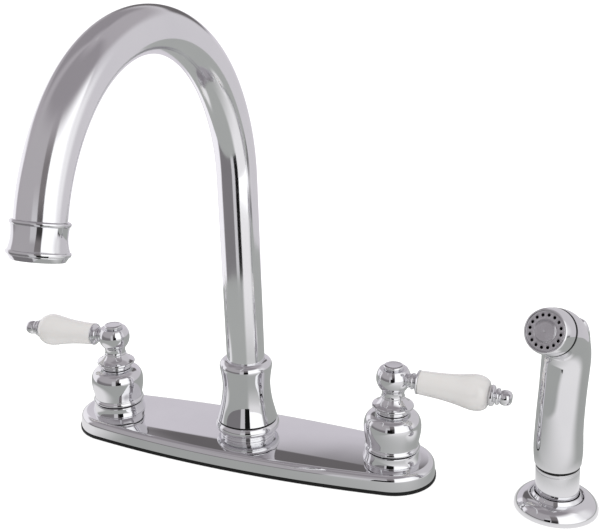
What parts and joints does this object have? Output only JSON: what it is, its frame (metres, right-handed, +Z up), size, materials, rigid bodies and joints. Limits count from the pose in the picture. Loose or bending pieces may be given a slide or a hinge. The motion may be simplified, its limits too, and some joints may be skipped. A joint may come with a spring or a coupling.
{
  "type": "side spray kitchen faucet",
  "caption": "Deck-mounted kitchen faucet with a swinging gooseneck spout, porcelain lever handles on a long base plate, and a pull-out side spray in its holder.",
  "frame": {"origin": "the spout's turning axis where it meets the top of the sink deck (the underside of the gasket)", "axes": "+X along the base plate towards the side spray, +Z up out of the deck; the user stands on the -Y side"},
  "size_m": [0.4053, 0.2464, 0.3516],
  "materials": {
    "chrome": "polished chrome plate",
    "porcelain": "white glazed porcelain",
    "index": "polished, bare",
    "gasket": "black moulded gasket",
    "rubber": "black rubber",
    "brass": "turned brass",
    "copper": "drawn copper tube",
    "steel": "stainless steel",
    "ceramic": "lapped ceramic",
    "white_plastic": "moulded acetal",
    "black_plastic": "moulded black plastic"
  },
  "bodies": {
    "deck": {"deck_gasket": "gasket", "deck_plate": "chrome", "center_body": "brass", "spout_o_rings": "rubber", "shank_washers": "steel", "shank_nuts": "brass", "spout_base_ring": "chrome", "swivel_washer": "white_plastic", "spray_holder": "chrome", "holder_liner": "chrome", "holder_nut": "brass", "left_valve_body": "brass", "left_cross_tube": "copper", "left_cartridge": "brass", "left_fixed_disc": "ceramic", "left_base_ring": "chrome", "left_bell_seal": "rubber", "left_bell": "chrome", "right_valve_body": "brass", "right_cross_tube": "copper", "right_cartridge": "brass", "right_fixed_disc": "ceramic", "right_base_ring": "chrome", "right_bell_seal": "rubber", "right_bell": "chrome"},
    "spout": {"spout_collar": "chrome", "spout_tube": "chrome", "outlet_shell": "chrome", "aerator_washer": "rubber", "aerator_housing": "chrome", "aerator_insert": "white_plastic"},
    "left_handle": {"left_stem": "brass", "left_moving_disc": "ceramic", "left_handle_hub": "chrome", "left_handle_screw": "steel", "left_index_button": "index", "left_lever_ferrule": "chrome", "left_tie_rod": "steel", "left_porcelain_lever": "porcelain", "left_finial": "chrome"},
    "right_handle": {"right_stem": "brass", "right_moving_disc": "ceramic", "right_handle_hub": "chrome", "right_handle_screw": "steel", "right_index_button": "index", "right_lever_ferrule": "chrome", "right_tie_rod": "steel", "right_porcelain_lever": "porcelain", "right_finial": "chrome"},
    "diverter": {"diverter_spool": "brass"},
    "spray_sleeve": {"spray_sleeve": "chrome", "spray_seal": "rubber"},
    "handset": {"spray_body": "chrome", "nozzle_gasket": "rubber", "nozzle_bezel": "chrome", "spray_face": "chrome", "trigger_pin": "steel"},
    "trigger": {"spray_trigger": "chrome"},
    "plunger": {"spray_plunger": "black_plastic", "plunger_spring": "steel"}
  },
  "joints": [
    {"name": "spout_swing", "type": "hinge", "parent": "deck", "child": "spout", "pos_m": [0, 0, 0.0235], "axis": [0, 0, 1], "continuous": true},
    {"name": "left_valve", "type": "hinge", "parent": "deck", "child": "left_handle", "pos_m": [-0.1016, 0, 0.05], "axis": [0, 0, 1], "range_deg": [0, 90]},
    {"name": "right_valve", "type": "hinge", "parent": "deck", "child": "right_handle", "pos_m": [0.1016, 0, 0.05], "axis": [0, 0, 1], "range_deg": [-90, 0]},
    {"name": "diverter_lift", "type": "slide", "parent": "deck", "child": "diverter", "axis": [0, 0, 1], "range_m": [0, 0.0025]},
    {"name": "spray_pull", "type": "slide", "parent": "deck", "child": "spray_sleeve", "axis": [-0.0368, -0.1107, 0.9932], "range_m": [0, 0.045]},
    {"name": "spray_swivel", "type": "hinge", "parent": "spray_sleeve", "child": "handset", "pos_m": [0.2055, -0.003, 0.011], "axis": [-0.0368, -0.1107, 0.9932], "continuous": true},
    {"name": "spray_trigger_press", "type": "hinge", "parent": "handset", "child": "trigger", "pos_m": [0.20558, -0.00276, 0.11385], "axis": [-0.9489, 0.3156, 0], "range_deg": [0, 4], "stiffness_Nm_per_rad": 0.8, "springref_deg": -2.86},
    {"name": "spray_plunger_slide", "type": "slide", "parent": "handset", "child": "plunger", "axis": [-0.3153, -0.9477, 0.0489], "range_m": [0, 0.0021], "deforming": ["plunger_spring"]}
  ],
  "couplings": [
    {"joint": "spray_plunger_slide", "follows": "spray_trigger_press", "m_per_rad": 0.029},
    {"joint": "diverter_lift", "follows": "spray_trigger_press", "m_per_rad": 0.035}
  ]
}
